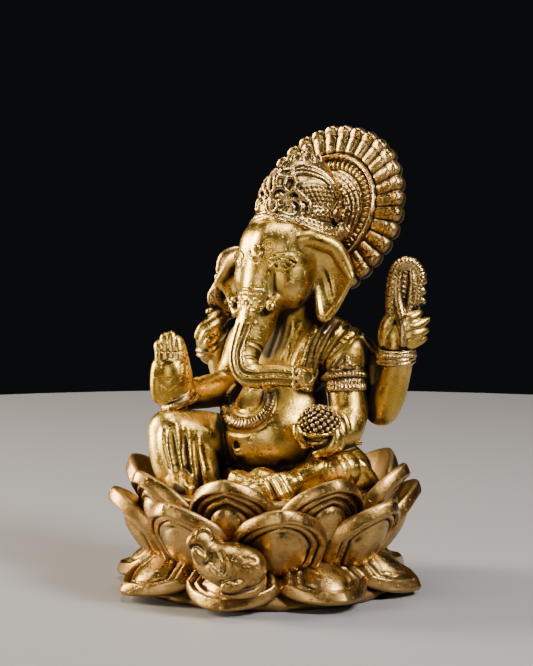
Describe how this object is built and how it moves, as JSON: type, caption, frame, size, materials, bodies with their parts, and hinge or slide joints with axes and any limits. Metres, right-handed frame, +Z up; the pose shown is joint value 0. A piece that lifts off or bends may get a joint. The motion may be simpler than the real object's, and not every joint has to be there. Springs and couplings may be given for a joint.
{
  "type": "hindu deity statue",
  "caption": "Small cast brass elephant-headed seated figure with several arms and a scalloped halo, on a tiered lotus base with a mouse at its front.",
  "frame": {"origin": "middle of the flat underside of the lotus base", "axes": "+Z up, -Y to the figure's front, +X to the figure's own left hand"},
  "size_m": [0.0538, 0.0538, 0.0761],
  "materials": {
    "figure_brass": "satin polished brass with fine brush marks, casting grain and dark patina in the folds",
    "lotus_brass": "antiqued brass, rubbed bright on the rims, dark brown patina in the grooves",
    "ornament_brass": "bright rubbed brass on raised beads and scrolls, dark patina between them"
  },
  "bodies": {
    "root": {"axe": "ornament_brass", "crown": "ornament_brass", "dhoti_pleats": "figure_brass", "ear_left": "figure_brass", "ear_right": "figure_brass", "front_left_arm": "figure_brass", "front_left_armlet": "ornament_brass", "front_left_hand": "figure_brass", "front_right_arm": "figure_brass", "front_right_bangle": "ornament_brass", "front_right_hand": "figure_brass", "halo_disc": "ornament_brass", "halo_ring": "ornament_brass", "head": "figure_brass", "hips": "figure_brass", "left_foot": "figure_brass", "left_leg": "figure_brass", "lotus_core": "lotus_brass", "lotus_inner_petal_1": "lotus_brass", "lotus_inner_petal_2": "lotus_brass", "lotus_inner_petal_3": "lotus_brass", "lotus_inner_petal_4": "lotus_brass", "lotus_inner_petal_5": "lotus_brass", "lotus_inner_petal_6": "lotus_brass", "lotus_inner_petal_7": "lotus_brass", "lotus_inner_petal_8": "lotus_brass", "lotus_lower_petal_1": "lotus_brass", "lotus_lower_petal_2": "lotus_brass", "lotus_lower_petal_3": "lotus_brass", "lotus_lower_petal_4": "lotus_brass", "lotus_lower_petal_5": "lotus_brass", "lotus_lower_petal_6": "lotus_brass", "lotus_lower_petal_7": "lotus_brass", "lotus_lower_petal_8": "lotus_brass", "lotus_outer_petal_1": "lotus_brass", "lotus_outer_petal_2": "lotus_brass", "lotus_outer_petal_3": "lotus_brass", "lotus_outer_petal_4": "lotus_brass", "lotus_outer_petal_5": "lotus_brass", "lotus_outer_petal_6": "lotus_brass", "lotus_outer_petal_7": "lotus_brass", "lotus_outer_petal_8": "lotus_brass", "mouse": "lotus_brass", "necklace": "ornament_brass", "noose": "ornament_brass", "rear_left_arm": "figure_brass", "rear_left_bangle": "ornament_brass", "rear_left_hand": "figure_brass", "rear_right_arm": "figure_brass", "rear_right_hand": "figure_brass", "right_foot": "figure_brass", "right_leg": "figure_brass", "shawl": "figure_brass", "sweets": "ornament_brass", "torso": "figure_brass", "trunk": "figure_brass", "tusk_left": "figure_brass", "tusk_right": "figure_brass"}
  },
  "joints": []
}
